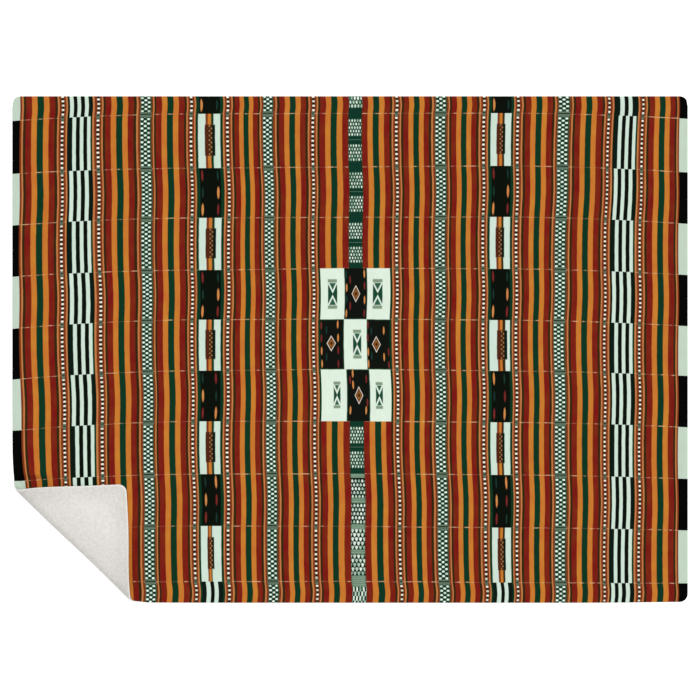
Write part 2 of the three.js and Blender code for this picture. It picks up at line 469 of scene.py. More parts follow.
def weavePlaces(y, units, seamsY):
    # where each cell corner lies in its own motif: share across, share down, and the strip
    cellColumn = np.floor((lineChart[:-1] + lineChart[1:]) / 2).astype(int)
    cellStrip = np.floor((rowChart[:-1] + rowChart[1:]) / 2).astype(int)
    rows, lines = len(cellStrip), len(cellColumn)
    full = weaveChart["fullStrip"] * unit
    grid = np.stack(
        [
            np.broadcast_to(lineChart, y.shape),
            np.broadcast_to(rowChart[:, None], y.shape),
            y,
        ],
        axis=-1,
    )
    corners = cellCorners(grid).reshape(rows, lines, 4, 3)
    seam = np.broadcast_to(seamsY[:, None, :], (seamsY.shape[0], 1, len(units)))
    seamCorners = [seam[:, 0, :-1], seam[:, 0, :-1], seam[:, 0, 1:], seam[:, 0, 1:]]
    across = corners[..., 0] - cellColumn[None, :, None]
    mirrored = np.array([kind.endswith("<") for kind in columnKinds])[cellColumn]
    across = np.where(mirrored[None, :, None], 1 - across, across)
    down = corners[..., 1] - cellStrip[:, None, None]
    for corner in range(4):
        first = 1 - (corners[..., corner, 2] - seamCorners[corner][1]) / full
        last = (seamCorners[corner][-2] - corners[..., corner, 2]) / full
        down[..., corner] = np.where((cellStrip == 0)[:, None], first, down[..., corner])
        down[..., corner] = np.where((cellStrip == stripCount - 1)[:, None], last, down[..., corner])
    strip = np.broadcast_to(cellStrip[:, None, None], down.shape).astype(float)
    firstColumn, lastColumn = weaveChart["medallionColumns"]
    firstStrip, lastStrip = weaveChart["medallionStrips"]
    inMedallion = ((cellColumn >= firstColumn) & (cellColumn <= lastColumn))[None, :] & (
        (cellStrip >= firstStrip) & (cellStrip <= lastStrip)
    )[:, None]
    unitCorners = np.stack([units[:-1], units[:-1], units[1:], units[1:]], axis=-1)
    medallionAcross = unitCorners[None] - columnEdges[firstColumn]
    medallionDown = (corners[..., 1] - firstStrip) * motifHeight
    places = np.stack([across, down, strip], axis=-1)
    places[inMedallion, :, 0] = np.broadcast_to(medallionAcross, across.shape)[inMedallion]
    places[inMedallion, :, 1] = medallionDown[inMedallion]
    return places.reshape(-1, 4, 3), cellColumn, cellStrip, inMedallion


# Every ink is the colour that the eye sees on the pile under the studio's light.
inks = {
    "mint": "#CADECF",
    "blockMint": "#BECFBE",
    "paleMint": "#DAE9D9",
    "orange": "#C2752D",
    "amber": "#BE7744",
    "red": "#771F13",
    "rust": "#783416",
    "olive": "#33240F",
    "green": "#0C3420",
    "lattice": "#2A533F",
    "blackGreen": "#0A1911",
    "black": "#090E08",
    "blockBlack": "#020302",
    "cream": "#F1EEDC",
    "dimBead": "#93A384",
    "knot": "#E6F6E6",
    "greyGreen": "#86A08A",
    "dimGrey": "#5D7A64",
    "seam": "#B87F60",
    "seamKnot": "#EBC79A",
    "tealLens": "#17342D",
    "redLens": "#702624",
    "orangeLens": "#C88348",
    "coreBrown": "#481F11",
    "coreFleck": "#5E2C14",
    "coreWarm": "#45270E",
    "coreDot": "#9C6F48",
    "fringe": "#4C5E49",
    "darkFringe": "#3B4730",
    "medallionBlack": "#0E120D",
    "medallionEdge": "#123A24",
    "diamondHeart": "#2A1607",
    "diamondBrown": "#74461B",
    "diamondGlow": "#A3672F",
    "diamondRim": "#5A3212",
    "diamondEdge": "#DDD2C6",
    "hourglassBar": "#7F957C",
    "hourglassEnd": "#2F5B44",
    "hourglassWaist": "#174430",
    "stitchGround": "#27503B",
    "stitchDark": "#0C3527",
    "stitch": "#EAF8EA",
    "dimStitch": "#86AC92",
}


def linearColour(hexColour):
    channels = [int(hexColour[i : i + 2], 16) / 255 for i in (1, 3, 5)]
    linear = [c / 12.92 if c <= 0.04045 else ((c + 0.055) / 1.055) ** 2.4 for c in channels]
    return (*linear, 1.0)


def ink(name):
    return linearColour(inks[name])


def addNode(tree, kind, feeds=(), out=0, stops=None, **settings):
    # adds one node with its settings, what feeds its sockets (in their order or by name) and,
    # for a ramp, its stops
    node = tree.nodes.new("ShaderNode" + kind)
    for setting, value in settings.items():
        setattr(node, setting, value)
    for socket, value in feeds.items() if isinstance(feeds, dict) else enumerate(feeds):
        if isinstance(value, bpy.types.NodeSocket):
            tree.links.new(value, node.inputs[socket])
        else:
            node.inputs[socket].default_value = value
    if stops:
        elements = node.color_ramp.elements
        elements[0].position, elements[0].color = stops[0]
        elements[1].position, elements[1].color = stops[-1]
        for position, colour in stops[1:-1]:
            elements.new(position).color = colour
    return node.outputs if out is None else node.outputs[out]


def inkStops(chart):
    # stops for a ramp from a chart of inks and their places
    return [(at, ink(name)) for name, at in readChart(chart)]


def bandStops(chart, soft=0.45):
    # stops for a ramp from a chart of inks and widths, each edge softened by the pile
    bands = readChart(chart)
    edges = np.cumsum([0.0] + [width for _, width in bands])
    stops = []
    for number, (name, width) in enumerate(bands):
        blend = min(soft, width * 0.8) / 2
        low = edges[number] + (blend if number else 0.0)
        high = edges[number + 1] - (blend if number < len(bands) - 1 else 0.0)
        stops += [(low / edges[-1], ink(name)), (high / edges[-1] - 1e-4, ink(name))]
    return stops


# The printed pile: short polyester plush. It gives a deep, soft colour with no shine when seen
# from above, and a pale velvet edge when seen along the pile.
plush = {
    "roughness": 0.92,
    "specular": 0.04,
    "ior": 1.5,
    "sheen": 0.1,
    "sheenRoughness": 0.3,
    "napSize": 26.0,  # mm between places where the pile leans differently
    "napStretch": (1.0, 0.45, 1.0),
    "napShade": 0.08,
    "napHue": (0.492, 0.508),
    "fibreSize": 3.2,  # mm; the fibre is about 0.1 mm and is drawn coarser so that it shows
    "fibreShade": 0.09,
    "bumpStrength": 0.5,
    "bumpDistance": 0.0012,  # metres
    "printWander": 0.25,  # chart units by which the dyed edges wander
    "wanderSize": 24.0,  # mm
    "seamWidth": 0.0115,  # share of a strip's height
    "seamBreaks": 16.0,  # mm between places where the seam's twining shows
    "seamGaps": (0.46, 0.64, 0.15, 1.3),  # the noise that leaves the seam out, and that shows it whole
}

# How a woven spot fades: the shares of its reach where it ends and where it is full.
dotFade = (1.25, 0.75, 0.0, 1.0)
lensFade = (1.2, 0.75, 0.0, 1.0)


def apart(add, value, other):
    # how far apart two values are
    off = add("Math", (value, other), operation="SUBTRACT")
    return add("Math", (off,), operation="ABSOLUTE")


def roundedReach(add, spot):
    # the distance of a spot from its centre, measured so that equal distances are rounded squares
    length = add("VectorMath", (spot,), out=1, operation="LENGTH")
    spot = add("VectorMath", (spot,), operation="ABSOLUTE")
    x, y, _ = add("SeparateXYZ", (spot,), out=None)
    longest = add("Math", (x, y), operation="MAXIMUM")
    total = add("Math", (length, longest), operation="ADD")
    average = 0.54  # a little over a half, so that a dot keeps its size
    return add("Math", (total, average), operation="MULTIPLY")


def dotColumn(add, place, width, centre, half, pitch, first):
    # a column of rounded dots; centre, pitch and first are shares of the motif
    u, v, strip = place
    stretch = width / half[0]
    x = add("Math", (u, stretch, -centre * stretch), operation="MULTIPLY_ADD")
    turn = add("Math", (v, 1 / pitch, 0.5 - first / pitch), operation="MULTIPLY_ADD")
    share = add("Math", (turn,), operation="FRACT")
    stretch = pitch * motifHeight / half[1]
    y = add("Math", (share, stretch, -0.5 * stretch), operation="MULTIPLY_ADD")
    reach = roundedReach(add, add("CombineXYZ", (x, y)))
    mask = add("MapRange", (reach, *dotFade), interpolation_type="SMOOTHSTEP")
    number = add("Math", (turn,), operation="FLOOR")
    own = add("CombineXYZ", (number, strip, centre))
    chance = add("TexWhiteNoise", (own,), noise_dimensions="3D")
    return mask, chance


def lens(add, units, centre, half):
    # one woven lens, in chart units
    shift = (-centre[0] / half[0], -centre[1] / half[1], 0.0)
    scale = (1 / half[0], 1 / half[1], 0.0)
    spot = add("Mapping", {"Vector": units, "Location": shift, "Scale": scale})
    reach = add("VectorMath", (spot,), out=1, operation="LENGTH")
    return add("MapRange", (reach, *lensFade), interpolation_type="SMOOTHSTEP")


def box(add, u, v, low, high, soft):
    # a mask for a rectangle of the motif, from its low corner to its high one
    sides = []
    for value, start, end in ((u, low[0], high[0]), (v, low[1], high[1])):
        half = (end - start) / 2
        off = apart(add, value, (start + end) / 2)
        sides.append(add("MapRange", (off, half + soft, half - soft, 0.0, 1.0)))
    return add("Math", sides, operation="MULTIPLY")


def paintBands(bands):
    def paint(add, place, units):
        return add("ValToRGB", (place[0],), stops=bandStops(bands))

    return paint


# The greyish twining at both ends of the beads and the nets, as stops down the strip.
twine = {
    "stops": """blackGreen 0, greyGreen 0.008, lattice 0.022, greyGreen 0.034, lattice 0.05,
        lattice 0.955, greyGreen 0.968, lattice 0.982, blackGreen 0.992, blackGreen 0.9999""",
    "warp": 0.3,  # how much of the brown warp shows through
    "inner": (0.052, 0.962),
    "soft": 0.008,
}


def paintTwine(add, place, paint):
    # the strip's length serves for both directions of the box
    v = place[1]
    ends = add("ValToRGB", (v,), stops=inkStops(twine["stops"]))
    ends = add("MixRGB", (twine["warp"], ends, ink("olive")))
    low, high = twine["inner"]
    inside = box(add, v, v, (low, low), (high, high), twine["soft"])
    return add("MixRGB", (inside, ends, paint))


# The beads on their cord. Half sizes are in chart units, and pitches and the like are shares of
# the motif. Chance above a bead's or a knot's first value dims it, by up to the last one.
beads = {
    "width": 3.2,
    "cord": "rust 0.35, blackGreen 2.5, rust 0.35",
    "half": (1.45, 1.04),
    "pitch": 0.0851,
    "first": 0.083,
    "dim": (0.55, 1.0, 0.0, 0.5),
}


def paintBeads(add, place, units):
    size = (beads["half"], beads["pitch"], beads["first"])
    mask, chance = dotColumn(add, place, beads["width"], 0.5, *size)
    cord = add("ValToRGB", (place[0],), stops=bandStops(beads["cord"]))
    dim = add("MapRange", (chance, *beads["dim"]))
    bead = add("MixRGB", (dim, ink("cream"), ink("dimBead")))
    return paintTwine(add, place, add("MixRGB", (mask, cord, bead)))


# The net: three columns of knots, given by their centre and first knot, with holes between.
net = {
    "width": 11.5,
    "bands": "fringe 0.9, lattice 9, darkFringe 1.6",
    "columns": ((0.175, 0.083), (0.465, 0.1256), (0.755, 0.083)),
    "pitch": 0.0851,
    "knot": (1.4, 0.98),
    "hole": (1.35, 1.05),
    "holeStep": 0.0426,  # from a knot down to the next hole
    "holeShade": 0.9,
    "dim": (0.6, 1.0, 0.0, 0.6),
}


def paintNet(add, place, units):
    woven = add("ValToRGB", (place[0],), stops=bandStops(net["bands"]))
    for centre, first in net["columns"]:
        size = (net["hole"], net["pitch"], first + net["holeStep"])
        hole, _ = dotColumn(add, place, net["width"], centre, *size)
        hole = add("Math", (hole, net["holeShade"]), operation="MULTIPLY")
        woven = add("MixRGB", (hole, woven, ink("blackGreen")))
    for centre, first in net["columns"]:
        size = (net["knot"], net["pitch"], first)
        dot, chance = dotColumn(add, place, net["width"], centre, *size)
        dim = add("MapRange", (chance, *net["dim"]))
        knot = add("MixRGB", (dim, ink("knot"), ink("greyGreen")))
        woven = add("MixRGB", (dot, woven, knot))
    return paintTwine(add, place, woven)


# The black pillars: woven lenses stand on them in two columns, one down each side. Each pillar,
# by strip and side, has the shares of its width where the columns stand, and the lenses' inks
# down the left column and down the right one.
blackPillar = {
    "width": 22.0,
    "bands": "green 1.2, black 19.6, green 1.2",
    "down": (0.15, 0.495, 0.835),
    "half": {"red": (1.1, 5.5), "teal": (0.85, 5.1), "orange": (1.15, 6.1)},
    "pillars": {
        "First": ((0.145, 0.81), "teal red orange", "red orange teal"),
        "Upper": ((0.16, 0.825), "red teal orange", "teal orange red"),
        "LowerLeft": ((0.155, 0.75), "teal orange red", "red teal orange"),
        "LowerRight": ((0.185, 0.69), "orange teal red", "teal red orange"),
        "Ninth": ((0.245, 0.74), "teal orange red", "orange red teal"),
    },
}


def paintBlackPillar(columns, *columnInks):
    def paint(add, place, units):
        panel = add("ValToRGB", (place[0],), stops=bandStops(blackPillar["bands"]))
        for across, names in zip(columns, columnInks):
            for down, name in zip(blackPillar["down"], names.split()):
                centre = (across * blackPillar["width"], down * motifHeight)
                mask = lens(add, units, centre, blackPillar["half"][name])
                panel = add("MixRGB", (mask, panel, ink(name + "Lens")))
        return panel

    return paint


# The light pillars, each with its width, its bands and the shares of its width between which its dark
# twilled core lies. Dots of two inks stand in columns on the core: each column is given by its
# share of the core, the first dot's share of the pitch, and its ink.
lightPillars = {
    "Left": {
        "width": 22.8,
        "bands": "green 0.4, mint 7.35, rust 2.3, orange 3.15, green 2.5, mint 6.7, green 0.4",
        "core": (0.307, 0.758),
    },
    "Right": {
        "width": 22.0,
        "bands": "green 0.5, mint 6.8, rust 2.3, orange 2.8, olive 2.3, mint 6.8, green 0.5",
        "core": (0.3, 0.71),
    },
    "Sixth": {
        "width": 22.0,
        "bands": "green 0.05, mint 8.8, rust 2.35, orange 2.65, olive 3.05, mint 4.9, green 0.2",
        "core": (0.366, 0.86),
    },
    "Tenth": {
        "width": 22.8,
        "bands": "green 0.1, mint 7.6, rust 1.4, orange 2.2, green 1.1, mint 10, green 0.4",
        "core": (0.32, 0.64),
    },
}
pillarCore = {
    "bands": "coreBrown 3.9, coreWarm 2.6, blackGreen 2.9",
    "dots": (
        (0.45, 0.63, "coreDot"), (0.64, 0.13, "coreDot"), (0.25, 0.13, "coreFleck"),
        (0.08, 0.63, "coreFleck"),
    ),
    "dotHalf": (0.75, 0.9),
    "pitch": 0.0862,
    "ends": (0.2, 0.775),  # shares of the motif's height
    "softBands": (0.8, 1.2),  # chart units, on the pillar and on its core
    "softEdge": 0.012,
}


def paintLightPillar(bands, core):
    coreLow, coreHigh = core
    top, bottom = pillarCore["ends"]

    def paint(add, place, units):
        u, v, _ = place
        soft, coreSoft = pillarCore["softBands"]
        pillar = add("ValToRGB", (u,), stops=bandStops(bands, soft))
        along = add("MapRange", (u, coreLow, coreHigh, 0.0, 1.0))
        woven = add("ValToRGB", (along,), stops=bandStops(pillarCore["bands"], coreSoft))
        for share, first, name in pillarCore["dots"]:
            centre = coreLow + (coreHigh - coreLow) * share
            size = (pillarCore["dotHalf"], pillarCore["pitch"], first * pillarCore["pitch"])
            dot, _ = dotColumn(add, place, blackPillar["width"], centre, *size)
            woven = add("MixRGB", (dot, woven, ink(name)))
        inside = box(add, u, v, (coreLow, top), (coreHigh, bottom), pillarCore["softEdge"])
        return add("MixRGB", (inside, pillar, woven))

    return paint


# The centre column: two zones of five rows of stitches in each strip, and the bands that part
# them, as stops down the strip. Pitch and half size are in chart units, and a stitch narrows
# downwards by its taper.
centreColumn = {
    "width": 13.5,
    "rows": 5,
    "sides": (0.02, 0.98),
    "sideSoft": 0.01,
    "shadow": (1.2, 1.9, 0.0, 0.85),  # the ground darkens between these shares of a stitch's reach
    "fringe": (0.055, 0.945),
    "fringeSoft": 0.03,
    "fringeShade": 0.6,
}
fineStitches = {
    "zones": ((0.103, 0.428), (0.571, 0.895)),
    "pitch": 2.63,
    "half": (0.72, 1.25),
    "taper": 0.0,
    "bands": """stitchDark 0, stitchDark 0.09, stitchGround 0.105, stitchGround 0.42,
        stitchDark 0.435, stitchDark 0.484, dimGrey 0.492, stitchDark 0.5, stitchDark 0.562,
        stitchGround 0.575, stitchGround 0.89, stitchDark 0.903, stitchDark 0.9999""",
}
firstStitches = {**fineStitches, "zones": ((0.1, 0.2), (0.519, 0.895)), "pitch": 3.1, "half": (0.95, 1.6)}
upperStitches = {
    "zones": ((0.099, 0.469), (0.564, 0.95)),
    "pitch": 3.08,
    "half": (0.95, 1.5),
    "taper": -0.35,
    "bands": """dimGrey 0, greyGreen 0.03, dimGrey 0.05, greyGreen 0.07, blackGreen 0.08,
        blackGreen 0.462, greyGreen 0.475, dimGrey 0.5, greyGreen 0.53, dimGrey 0.555,
        blackGreen 0.567, blackGreen 0.945, dimGrey 0.957, greyGreen 0.9999""",
}
lowerStitches = {
    "zones": ((0.045, 0.426), (0.511, 0.897)),
    "pitch": 3.57,
    "half": (1.1, 1.75),
    "taper": 0.55,
    "bands": """dimGrey 0, greyGreen 0.036, blackGreen 0.05, blackGreen 0.42, greyGreen 0.432,
        dimGrey 0.455, greyGreen 0.47, dimGrey 0.5, blackGreen 0.515, blackGreen 0.89,
        greyGreen 0.903, dimGrey 0.92, greyGreen 0.94, dimGrey 0.96, greyGreen 0.985,
        dimGrey 0.9999""",
}
lastStitches = {
    "zones": ((0.108, 0.542), (0.9, 0.99)),
    "pitch": 3.0,
    "half": (0.75, 1.6),
    "taper": 0.0,
    "bands": """dimGrey 0, greyGreen 0.02, dimGrey 0.04, greyGreen 0.06, dimGrey 0.08,
        greyGreen 0.095, stitchDark 0.108, stitchDark 0.9999""",
}


def fromCellMiddle(add, turn):
    share = add("Math", (turn,), operation="FRACT")
    return add("Math", (share, 0.5), operation="SUBTRACT")


def paintCentre(stitches):
    left, right = centreColumn["sides"]
    fringeLow, fringeHigh = centreColumn["fringe"]
    rows = centreColumn["rows"]
    pitch, half = stitches["pitch"], stitches["half"]
    low, high = stitches["zones"][1]
    rowPitch = (high - low) * motifHeight / rows
    stretch = (pitch / half[0], rowPitch / half[1])
    narrowing = 2 * stitches["taper"] * stretch[0]

    def paint(add, place, units):
        u, v, strip = place
        ground = add("ValToRGB", (v,), stops=inkStops(stitches["bands"]))
        turns, insides = [], []
        for low, high in stitches["zones"]:
            turns.append(add("MapRange", (v, low, high, 0.0, rows)))
            insides.append(box(add, u, v, (left, low), (right, high), centreColumn["sideSoft"]))
        turn = add("Math", turns, operation="ADD")
        inside = add("Math", insides, operation="MAXIMUM")
        row = add("Math", (turn,), operation="FLOOR")
        shift = add("Math", (row, 0.5), operation="MULTIPLY")  # rows stand half a stitch over
        step = (u, centreColumn["width"] / pitch, shift)
        step = add("Math", step, operation="MULTIPLY_ADD")
        column = add("Math", (step,), operation="FLOOR")
        x, y = fromCellMiddle(add, step), fromCellMiddle(add, turn)
        narrow = add("Math", (y, narrowing, stretch[0]), operation="MULTIPLY_ADD")
        x = add("Math", (x, narrow), operation="MULTIPLY")
        y = add("Math", (y, stretch[1]), operation="MULTIPLY")
        spot = add("CombineXYZ", (x, y))
        reach = add("VectorMath", (spot,), out=1, operation="LENGTH")
        shadow = add("MapRange", (reach, *centreColumn["shadow"]))
        dot = add("MapRange", (reach, *dotFade))
        own = add("CombineXYZ", (row, column, strip))
        chance = add("TexWhiteNoise", (own,), noise_dimensions="3D")
        stitch = add("MixRGB", (chance, ink("stitch"), ink("dimStitch")))
        woven = add("MixRGB", (shadow, ground, ink("blackGreen")))
        woven = add("MixRGB", (dot, woven, stitch))
        woven = add("MixRGB", (inside, ground, woven))
        # the fringe runs past the strip at both ends, so its box does too
        within = box(add, u, v, (fringeLow, -1.0), (fringeHigh, 2.0), centreColumn["fringeSoft"])
        fringed = add("MixRGB", (centreColumn["fringeShade"], woven, ink("olive")))
        return add("MixRGB", (within, fringed, woven))

    return paint


# The medallion in the middle: nine blocks by turns light and black, in chart units from its
# upper left corner.
medallion = {
    "columnEdges": (23.9, 46.2),
    "rowEdges": (50.8, 101.2),
    "edgeSoft": 0.3,
    "edgeLine": (1.3, 0.7, 0.0, 0.9),  # how the green line fades out beside each black block's edge
    "lowerShift": 1.7,  # the lower row's edges stand this far to the right
    # centre, half width and half height of the hourglass on each light block
    "hourglasses": (
        (12.0, 25.5, 4.7, 14.8), (56.7, 25.5, 4.9, 14.8), (36.7, 75.9, 4.0, 14.6),
        (16.0, 126.0, 3.4, 13.0), (57.0, 126.4, 3.5, 13.0),
    ),
    # centre, half width and half height of the diamond on each black block
    "diamonds": (
        (34.8, 25.4, 4.2, 8.6), (11.3, 75.0, 4.9, 8.2), (56.0, 75.9, 4.5, 8.6),
        (36.9, 126.4, 4.1, 8.9),
    ),
    # the lenses: ink and centre
    "lenses": """teal 25.9 6.5, orange 25.9 19.5, teal 25.9 31, orange 25.9 45, red 29.4 11.5,
        red 29.4 37.5, orange 43.3 5.5, red 43.2 17.5, orange 43.3 31.5, red 43.4 44.8, red 1 57,
        red 1.2 70, orange 1.4 82.5, orange 1.5 95.5, teal 6.3 61.5, teal 6.3 88.5, orange 17.8 56,
        orange 18.2 69.5, red 18.3 82, red 18.3 95.5, red 47.4 56.5, red 47.4 69.5,
        orange 47.5 83.5, orange 47.6 95.5, teal 50.9 62.5, teal 51.1 87.5, orange 63.6 62,
        orange 63.6 88.5, red 68.2 83.5, red 68.2 96.5, red 28.9 111.5, orange 28.9 141,
        orange 31.6 105.2, orange 31.6 116.2, red 44.4 110.5, red 45 133.5, orange 43.8 141""",
    "lensHalf": (0.85, 4.1),
}
hourglass = {
    "apex": 2.3,  # how far each V's point lies from the middle
    "armReach": (0.9, 0.73),  # how far an arm spreads and rises, as shares of the half sizes
    "armFade": (1.05, 0.55, 0.0, 1.0),
    "fieldHeight": 0.74,
    "barHeight": 0.77,
    "fieldSoft": 0.3,
    "barSoft": 0.4,
}
diamond = {
    "rings": """diamondHeart 0, diamondHeart 0.2, diamondBrown 0.3, diamondGlow 0.42,
        diamondBrown 0.5, diamondRim 0.78, diamondEdge 0.86, diamondEdge 0.97, black 0.9999""",
    "fade": (1.06, 0.96, 0.0, 1.0),
}


def paintHourglass(add, units, under, centreX, centreY, halfX, halfY):
    # two bars with a dark field between them, on which a white V and its mirror image meet
    spot = add("VectorMath", (units, (centreX, centreY, 0.0)), operation="SUBTRACT")
    spot = add("VectorMath", (spot,), operation="ABSOLUTE")
    x, y, _ = add("SeparateXYZ", (spot,), out=None)
    apex = hourglass["apex"]
    spread, rise = hourglass["armReach"]
    slope = halfX * spread / (halfY * rise - apex)
    arm = add("Math", (y, slope, -apex * slope), operation="MULTIPLY_ADD")
    side = add("Math", (x, arm), operation="SUBTRACT")
    soft = hourglass["fieldSoft"]
    field = add("MapRange", (side, -soft, soft, 0.0, 1.0))
    field = add("MixRGB", (field, ink("hourglassEnd"), ink("hourglassWaist")))
    offArm = add("Math", (side,), operation="ABSOLUTE")
    onArm = add("MapRange", (offArm, *hourglass["armFade"]))
    field = add("MixRGB", (onArm, field, ink("paleMint")))
    fieldY, barY = halfY * hourglass["fieldHeight"], halfY * hourglass["barHeight"]
    inside = box(add, x, y, (-halfX, -fieldY), (halfX, fieldY), soft)
    bars = box(add, x, y, (-halfX, barY), (halfX, halfY), hourglass["barSoft"])
    shown = add("MixRGB", (bars, under, ink("hourglassBar")))
    return add("MixRGB", (inside, shown, field))


def paintDiamond(add, units, under, centreX, centreY, halfX, halfY):
    shift = (-centreX / halfX, -centreY / halfY, 0.0)
    scale = (1 / halfX, 1 / halfY, 0.0)
    spot = add("Mapping", {"Vector": units, "Location": shift, "Scale": scale})
    spot = add("VectorMath", (spot,), operation="ABSOLUTE")
    reach = add("VectorMath", (spot, (1.0, 1.0, 0.0)), out=1, operation="DOT_PRODUCT")
    woven = add("ValToRGB", (reach,), stops=inkStops(diamond["rings"]))
    mask = add("MapRange", (reach, *diamond["fade"]))
    return add("MixRGB", (mask, under, woven))


def paintMedallion(add, place, units):
    x, y, _ = place
    lastRow = medallion["rowEdges"][1]
    lower = (y, lastRow - 0.1, lastRow + 0.1, 0.0, -medallion["lowerShift"])
    blockX = add("Math", (x, add("MapRange", lower)), operation="ADD")
    outer, nearEdges = [], []
    soft = medallion["edgeSoft"]
    for value, (low, high) in ((blockX, medallion["columnEdges"]), (y, medallion["rowEdges"])):
        half = (high - low) / 2
        off = apart(add, value, (low + high) / 2)
        outer.append(add("MapRange", (off, half - soft, half + soft, 0.0, 1.0)))
        off = apart(add, off, half)
        nearEdges.append(add("MapRange", (off, *medallion["edgeLine"])))
    # a block is light where both or neither of its column and its row are outer ones
    isBlack = apart(add, *outer)
    nearEdge = add("Math", nearEdges, operation="MAXIMUM")
    black = add("MixRGB", (nearEdge, ink("medallionBlack"), ink("medallionEdge")))
    ground = add("MixRGB", (isBlack, ink("paleMint"), black))
    flat = add("CombineXYZ", (x, y))
    for name, across, down in readChart(medallion["lenses"]):
        mask = lens(add, flat, (across, down), medallion["lensHalf"])
        ground = add("MixRGB", (mask, ground, ink(name + "Lens")))
    for spot in medallion["diamonds"]:
        ground = paintDiamond(add, flat, ground, *spot)
    for spot in medallion["hourglasses"]:
        ground = paintHourglass(add, flat, ground, *spot)
    return ground


def emptyMaterial(name):
    # a material without nodes, and the function that adds nodes to it
    material = bpy.data.materials.new(name)
    material.use_nodes = True
    material.node_tree.nodes.clear()
    return material, partial(addNode, material.node_tree)


def showSeam(add, colour, down, cloth, seamShows):
    # the thread that shows here and there where two strips are sewn together
    fromMiddle = apart(add, down, 0.5)
    start, full = 0.5 - plush["seamWidth"], 0.5 - plush["seamWidth"] * 0.4
    seam = add("MapRange", (fromMiddle, start, full, 0.0, seamShows))
    breaks = {"Vector": cloth, "Scale": 1 / plush["seamBreaks"], "Detail": 1.0}
    broken = add("TexNoise", breaks)
    thread = add("MixRGB", (broken, ink("seam"), ink("seamKnot")))
    broken = add("MapRange", (broken, *plush["seamGaps"]))
    seam = add("Math", (seam, broken), operation="MULTIPLY")
    return add("MixRGB", (seam, colour, thread))


def makePlush(name, paint, wide, tall=motifHeight, seamShows=0.0):
    # printed polyester plush: the paint follows the weave chart, the pile softens and shades it
    words = "".join(" " + letter.lower() if letter.isupper() else letter for letter in name)
    material, add = emptyMaterial("printed plush, " + words)
    place = add("Attribute", out=1, attribute_name="weave")
    cloth = add("Attribute", out=1, attribute_name="cloth")
    wander = {"Vector": cloth, "Scale": 1 / plush["wanderSize"], "Detail": 1.0}
    wander = add("TexNoise", wander, out=1)
    wander = add("VectorMath", (wander, (0.5, 0.5, 0.5)), operation="SUBTRACT")
    reach = (2 * plush["printWander"] / wide, 2 * plush["printWander"] / tall, 0.0)
    place = add("VectorMath", (wander, reach, place), operation="MULTIPLY_ADD")
    units = add("VectorMath", (place, (wide, tall, 1.0)), operation="MULTIPLY")
    split = add("SeparateXYZ", (place,), out=None)
    colour = paint(add, split, units)
    if seamShows:
        colour = showSeam(add, colour, split[1], cloth, seamShows)
    stretched = add("VectorMath", (cloth, plush["napStretch"]), operation="MULTIPLY")
    nap = {"Vector": stretched, "Scale": 1 / plush["napSize"], "Detail": 2.0}
    nap = add("TexNoise", nap)
    fibre = {"Vector": cloth, "Scale": 1 / plush["fibreSize"], "Detail": 2.0}
    fibre = add("TexNoise", fibre)
    light = (nap, 2 * plush["napShade"], 1 - plush["napShade"] - plush["fibreShade"])
    light = add("Math", light, operation="MULTIPLY_ADD")
    light = add("Math", (fibre, 2 * plush["fibreShade"], light), operation="MULTIPLY_ADD")
    hue = add("MapRange", (nap, 0.25, 0.75, *plush["napHue"]))
    colour = add("HueSaturation", {"Hue": hue, "Value": light, "Color": colour})
    pile = add("Math", (nap, 3.0, fibre), operation="MULTIPLY_ADD")
    bump = {"Strength": plush["bumpStrength"], "Distance": plush["bumpDistance"], "Height": pile}
    surface = add("BsdfPrincipled", {
        "Base Color": colour,
        "Normal": add("Bump", bump),
        "Roughness": plush["roughness"],
        "IOR": plush["ior"],
        "Specular IOR Level": plush["specular"],
        "Sheen Weight": plush["sheen"],
        "Sheen Roughness": plush["sheenRoughness"],
    })
    add("OutputMaterial", {"Surface": surface}, out=None)
    return material


# The striped finishes: inks and widths in chart units, and how plainly the strips' seams show.
stripes = {
    "mintBlock": {"width": 8.0, "bands": "blockMint 1, blockMint 1"},
    "blackBlock": {"width": 8.0, "bands": "blockBlack 7, blockBlack 1"},
    "guard": {
        "width": 5.7,
        "bands": "rust 1.8, amber 1.5, olive 2.4",
        "seamShows": 0.5,
    },
    "halfGuard": {"width": 3.6, "bands": "rust 1.8, amber 1.5", "seamShows": 0.4},
    "pillarGuard": {
        "width": 5.7,
        "bands": "rust 1.8, amber 1.6, green 2.3",
        "seamShows": 0.3,
    },
    "middle": {
        "width": 27.0,
        "bands": "red 5.5, orange 5.1, green 6, orange 5.1, red 5.5",
        "seamShows": 0.55,
    },
    "ladderFirst": {
        "width": 24.7,
        "bands": "blackGreen 6.1, mint 4.3, black 4, mint 3.8, blackGreen 6.3",
    },
    "ladderOdd": {
        "width": 24.7,
        "bands": """blackGreen 2.2, mint 3.7, black 3.9, mint 3.5, black 4.1, mint 3.7,
            blackGreen 4.3""",
    },
    "ladderEven": {
        "width": 24.7,
        "bands": "blackGreen 5.5, mint 3.7, black 4.1, mint 3.6, black 4, mint 3.4, green 1.9",
    },
    "pillarStriped": {
        "width": 22.0,
        "bands": "blackGreen 4.5, mint 4.6, black 4, mint 4.2, blackGreen 5",
    },
}
stitchedCentres = {
    "centre": fineStitches,
    "centreFirst": firstStitches,
    "centreUpper": upperStitches,
    "centreLower": lowerStitches,
    "centreLast": lastStitches,
}

